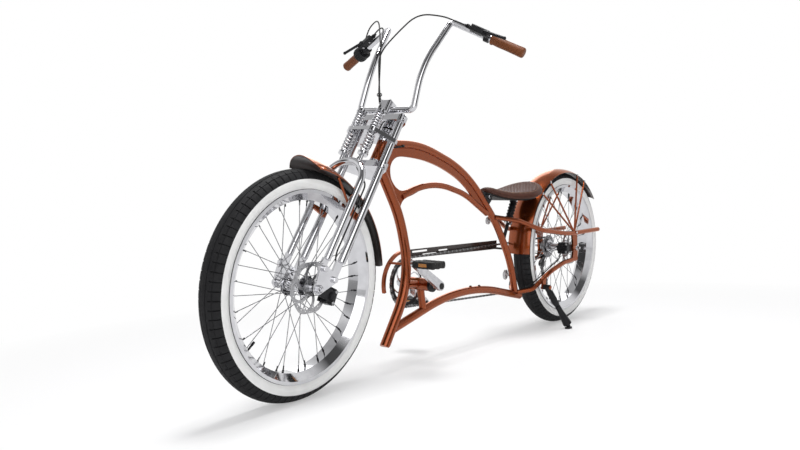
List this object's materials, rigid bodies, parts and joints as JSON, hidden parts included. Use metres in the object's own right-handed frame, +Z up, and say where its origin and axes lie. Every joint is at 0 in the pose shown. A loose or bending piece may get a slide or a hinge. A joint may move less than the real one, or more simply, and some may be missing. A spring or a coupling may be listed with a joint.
{
  "type": "stretch cruiser bicycle",
  "caption": "Long, low cruiser bicycle with curved tube frame, springer fork, high swept bars, wide wire wheels, fenders, quilted saddle and side stand.",
  "frame": {"origin": "on the ground under the middle of the parked bicycle's box", "axes": "+X ahead, +Y to the rider's left, +Z up; the bicycle leans to its left on the side stand"},
  "size_m": [2.2972, 0.7764, 1.2428],
  "materials": {
    "copper_paint": "metallic gloss",
    "chrome": "polished",
    "rotor_steel": "brushed",
    "tyre": "matt, with white side walls",
    "black_metal": "satin",
    "black_plastic": "matt",
    "brown_paint": "gloss",
    "brown_leather": "satin"
  },
  "bodies": {
    "frame": {"head_tube": "copper_paint", "down_tube": "copper_paint", "lower_tube": "copper_paint", "top_tube": "copper_paint", "rib_tube": "copper_paint", "gusset_plate": "copper_paint", "bottom_bracket": "copper_paint", "bracket_cups": "chrome", "bracket_struts": "copper_paint", "upper_stays": "copper_paint", "lower_stays": "copper_paint", "dropouts": "copper_paint", "rear_axle": "chrome", "rear_fender": "copper_paint", "rear_fender_stays": "copper_paint", "chain": "rotor_steel", "derailleur": "black_metal", "chain_guard": "brown_paint", "guard_hoop": "copper_paint", "saddle": "brown_leather", "saddle_pan": "black_plastic", "saddle_mount": "black_metal", "rear_caliper": "black_metal", "frame_cables": "black_plastic", "stand_bracket": "copper_paint"},
    "steering": {"fork_crowns": "chrome", "fork_rear_legs": "chrome", "fork_front_legs": "chrome", "spring_rods": "chrome", "fork_springs": "chrome", "spring_perch": "chrome", "fork_rockers": "chrome", "front_axle": "chrome", "handlebar": "chrome", "grips": "brown_leather", "brake_levers": "black_metal", "shifter": "black_plastic", "bar_clamp": "chrome", "front_fender": "copper_paint", "front_fender_stays": "copper_paint", "front_caliper": "black_metal", "fork_cables": "black_plastic"},
    "front_wheel": {"front_tyre": "tyre", "front_rim": "chrome", "front_hub": "chrome", "front_spokes": "chrome", "front_rotor": "rotor_steel"},
    "rear_wheel": {"rear_tyre": "tyre", "rear_rim": "chrome", "rear_hub": "chrome", "rear_spokes": "chrome", "rear_rotor": "rotor_steel", "cassette": "rotor_steel"},
    "crankset": {"chainring": "chrome", "crank_spindle": "chrome", "crank_arms": "chrome"},
    "pedal_left": {"pedal_left": "black_plastic"},
    "pedal_right": {"pedal_right": "black_plastic"},
    "stand": {"side_stand": "black_metal"}
  },
  "joints": [
    {"name": "steering_turn", "type": "hinge", "parent": "frame", "child": "steering", "pos_m": [0.71664, -0.05392, 0.28819], "axis": [-0.5371, 0.0588, 0.8415], "range_deg": [-44, 36]},
    {"name": "front_wheel_spin", "type": "hinge", "parent": "steering", "child": "front_wheel", "pos_m": [0.80415, -0.0428, 0.34327], "axis": [-0.0588, 0.9925, -0.107], "continuous": true},
    {"name": "rear_wheel_spin", "type": "hinge", "parent": "frame", "child": "rear_wheel", "pos_m": [-0.80363, -0.05, 0.34427], "axis": [0, 0.9976, -0.0698], "continuous": true},
    {"name": "crank_turn", "type": "hinge", "parent": "frame", "child": "crankset", "pos_m": [0.21435, -0.05427, 0.28319], "axis": [0, 0.9976, -0.0698], "continuous": true},
    {"name": "pedal_left_spin", "type": "hinge", "parent": "crankset", "child": "pedal_left", "pos_m": [0.35695, 0.05693, 0.3682], "axis": [0, 0.9976, -0.0698], "continuous": true},
    {"name": "pedal_right_spin", "type": "hinge", "parent": "crankset", "child": "pedal_right", "pos_m": [0.07176, -0.16547, 0.19818], "axis": [0, 0.9976, -0.0698], "continuous": true},
    {"name": "stand_fold", "type": "hinge", "parent": "frame", "child": "stand", "pos_m": [-0.52966, 0.0234, 0.18971], "axis": [0, 0.9976, -0.0698], "range_deg": [0, 75]}
  ]
}
